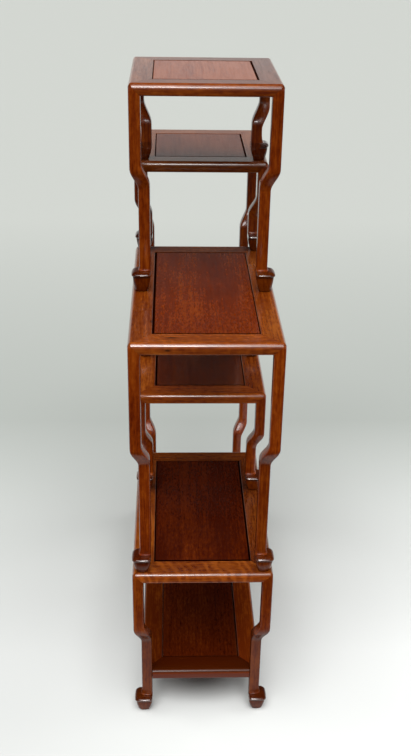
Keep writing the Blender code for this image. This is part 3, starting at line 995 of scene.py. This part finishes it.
def polish(tree, shader, wood, streaks):
    """Roughness and shine, rough and dull in the seams."""
    seam = attribute(tree, "seam")
    rough = spread(tree, streaks, *STREAK_RANGE, wood.roughness + ROUGHER, wood.roughness - SMOOTHER)
    tree.links.new(weigh(tree, seam, SEAM_ROUGHNESS, rough), shader.inputs["Roughness"])
    shine = weigh(tree, attribute(tree, "gloss"), weigh(tree, seam, -1.0, 1.0))
    tree.links.new(weigh(tree, shine, wood.specular), shader.inputs["Specular IOR Level"])
    tree.links.new(weigh(tree, shine, wood.coat), shader.inputs["Coat Weight"])
    shader.inputs["Coat Roughness"].default_value = COAT_ROUGHNESS


def flames(tree, grain):
    """Wavy pale bands across the grain, on the boards that have a figure."""
    turn = {"Vector": grain, "Axis": (0.0, 0.0, 1.0), "Angle": FLAME_SLANT}
    slanted = add_node(tree, "ShaderNodeVectorRotate", turn).outputs[0]
    bands = wave(
        tree, slanted, FLAME_SCALE, FLAME_DISTORTION, detail_scale=1.0,
        wave_type="BANDS", bands_direction="X",
    )
    patches = spread(tree, noise(tree, grain, PATCH_SCALE, detail=2.0), *PATCH_RANGE, *PATCH_STRENGTHS)
    strength = spread(tree, bands, *FLAME_RANGE, 0.0, patches)
    return weigh(tree, strength, attribute(tree, "figure"))


def knots(tree):
    """Small dark knots, as a factor that is strongest at their middles."""
    place = add_node(tree, "ShaderNodeNewGeometry").outputs["Position"]
    strongest = 0.0
    for centre, size in KNOTS:
        away = add_node(tree, "ShaderNodeVectorMath", {0: place, 1: centre}, operation="SUBTRACT").outputs[0]
        shares = add_node(tree, "ShaderNodeVectorMath", {0: away, 1: size}, operation="DIVIDE").outputs[0]
        reach = add_node(tree, "ShaderNodeVectorMath", {0: shares}, operation="LENGTH").outputs["Value"]
        spot = spread(tree, reach, *KNOT_RANGE, KNOT_STRENGTH, 0.0)
        strongest = add_node(tree, "ShaderNodeMath", {0: spot, 1: strongest}, operation="MAXIMUM").outputs[0]
    return strongest


def paper(name):
    """Pale studio paper, with painted shade: greyer towards the back and darker on the left."""
    material, tree, shader = new_material(name)
    place = add_node(tree, "ShaderNodeNewGeometry").outputs["Position"]
    parts = add_node(tree, "ShaderNodeSeparateXYZ", {0: place})
    far = spread(tree, parts.outputs["X"], *FAR_RANGE, 0.0, 1.0)
    near = spread(tree, parts.outputs["X"], *NEAR_RANGE, 0.0, 1.0)
    right = spread(tree, parts.outputs["Y"], *SIDE_RANGE, 0.0, 1.0)
    behind = blend_colour(tree, far, PAPER_BEHIND, PAPER_FAR)
    close = blend_colour(tree, right, PAPER_LEFT, PAPER_RIGHT)
    tree.links.new(blend_colour(tree, near, behind, close), shader.inputs["Base Color"])
    shader.inputs["Roughness"].default_value = PAPER_ROUGHNESS
    shader.inputs["Specular IOR Level"].default_value = PAPER_SHINE
    return material


# The stand
def add_shelves(shelves):
    """Rails, panels and battens. Returns the flat pieces, which would mirror a lamp."""
    rail_wood = rosewood("rail_wood", RAIL_WOOD)
    panel_wood = rosewood("panel_wood", PANEL_WOOD)
    batten_wood = rosewood("batten_wood", BATTEN_WOOD)
    flat_pieces = []
    for shelf in shelves.values():
        for side in ("front", "back", "left"):
            flat_pieces.append(rail_piece(shelf, side, rail_wood))
        rail_piece(shelf, "right", rail_wood)
        flat_pieces.append(panel_piece(shelf, panel_wood))
        for node in sorted(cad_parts):
            if node.startswith(f"{shelf.name}_batten"):
                batten_piece(node, shelf, batten_wood)
    return flat_pieces


def add_legs(shelves):
    leg_wood = rosewood("leg_wood", LEG_WOOD)
    for carried, end, support, *shape in LEG_PAIRS:
        base = shelves[support].top if support else 0.0
        for side in ("front", "back"):
            leg_piece(shelves[carried], end, side, base, *shape, leg_wood)


# Floor, light and camera
def add_sun(name, towards, angle, strength):
    """A broad soft light from far off, which doesn't show in the polish."""
    light = bpy.data.lights.new(name, "SUN")
    light.angle = angle
    light.energy = strength
    obj = bpy.data.objects.new(name, light)
    obj.rotation_euler = (-Vector(towards)).to_track_quat("-Z", "Y").to_euler()
    obj.visible_glossy = False
    bpy.context.scene.collection.objects.link(obj)


def add_softbox(name, place, aim, size, power, polish_only, spared):
    """A flat lamp behind the camera, which the rounded edges reflect."""
    light = bpy.data.lights.new(name, "AREA")
    light.shape = "RECTANGLE"
    light.size, light.size_y = size
    light.energy = power
    obj = bpy.data.objects.new(name, light)
    obj.location = place
    obj.rotation_euler = (Vector(aim) - Vector(place)).to_track_quat("-Z", "Y").to_euler()
    obj.visible_camera = False
    obj.visible_diffuse = not polish_only
    bpy.context.scene.collection.objects.link(obj)
    spare(obj, spared)


def spare(lamp, pieces):
    """Leave some pieces out of a lamp's light."""
    spared = bpy.data.collections.new(f"{lamp.name}_spares")
    for piece in pieces:
        spared.objects.link(piece)
    for member in spared.collection_objects:
        member.light_linking.link_state = "EXCLUDE"
    lamp.light_linking.receiver_collection = spared


def add_floor(name, start, end, material):
    """Floor between two places along X, level with the feet."""
    bm = bmesh.new()
    corners = ((start, -FLOOR_REACH), (end, -FLOOR_REACH), (end, FLOOR_REACH), (start, FLOOR_REACH))
    bm.faces.new([bm.verts.new((x, y, 0.0)) for x, y in corners])
    mesh = bpy.data.meshes.new(name)
    bm.to_mesh(mesh)
    bm.free()
    mesh.materials.append(material)
    floor = bpy.data.objects.new(name, mesh)
    bpy.context.scene.collection.objects.link(floor)
    return floor


def add_floors():
    """A plain floor. What lies ahead of the stand doesn't show in its polish or light it."""
    material = paper("floor_paper")
    under = add_floor("floor", -FLOOR_REACH, FLOOR_SPLIT, material)
    ahead = add_floor("floor_ahead", FLOOR_SPLIT, FLOOR_REACH, material)
    ahead.visible_diffuse = False
    ahead.visible_glossy = False
    return [under, ahead]


def add_world():
    """A pale wall all round that darkens upwards, and darkness below the floor."""
    world = bpy.data.worlds.new("studio")
    bpy.context.scene.world = world
    world.use_nodes = True
    tree = world.node_tree
    direction = add_node(tree, "ShaderNodeTexCoord").outputs["Generated"]
    up = add_node(tree, "ShaderNodeSeparateXYZ", {0: direction}).outputs["Z"]
    lowest = WALL[0][0]
    highest = WALL[-1][0]
    ramp = add_node(tree, "ShaderNodeValToRGB", {"Fac": spread(tree, up, lowest, highest, 0.0, 1.0)})
    stops = ramp.color_ramp.elements
    stops[0].color = (*WALL[0][1], 1.0)
    stops[-1].color = (*WALL[-1][1], 1.0)
    for rise, colour in WALL[1:-1]:
        stops.new((rise - lowest) / (highest - lowest)).color = (*colour, 1.0)
    background = tree.nodes["Background"]
    tree.links.new(ramp.outputs["Color"], background.inputs["Color"])
    background.inputs["Strength"].default_value = 1.0


def add_camera():
    data = bpy.data.cameras.new("camera")
    data.lens = CAMERA_LENS
    data.sensor_width = SENSOR
    data.clip_end = 2 * FLOOR_REACH
    camera = bpy.data.objects.new("camera", data)
    turn = Matrix.Rotation(CAMERA_TURN, 4, "Z") @ Matrix.Rotation(pi / 2 - CAMERA_PITCH, 4, "X")
    camera.matrix_world = Matrix.Translation(CAMERA_PLACE) @ turn @ Matrix.Rotation(CAMERA_ROLL, 4, "Z")
    bpy.context.scene.collection.objects.link(camera)
    bpy.context.scene.camera = camera


shelves = {f"shelf_{number}": read_shelf(f"shelf_{number}") for number in range(1, SHELF_COUNT + 1)}
flat_pieces = add_shelves(shelves)
add_legs(shelves)
spared = flat_pieces + add_floors()
add_world()
for sun in SUNS:
    add_sun(*sun)
for softbox in SOFTBOXES:
    add_softbox(*softbox, spared)
add_camera()
bpy.context.scene.view_settings.view_transform = "Standard"
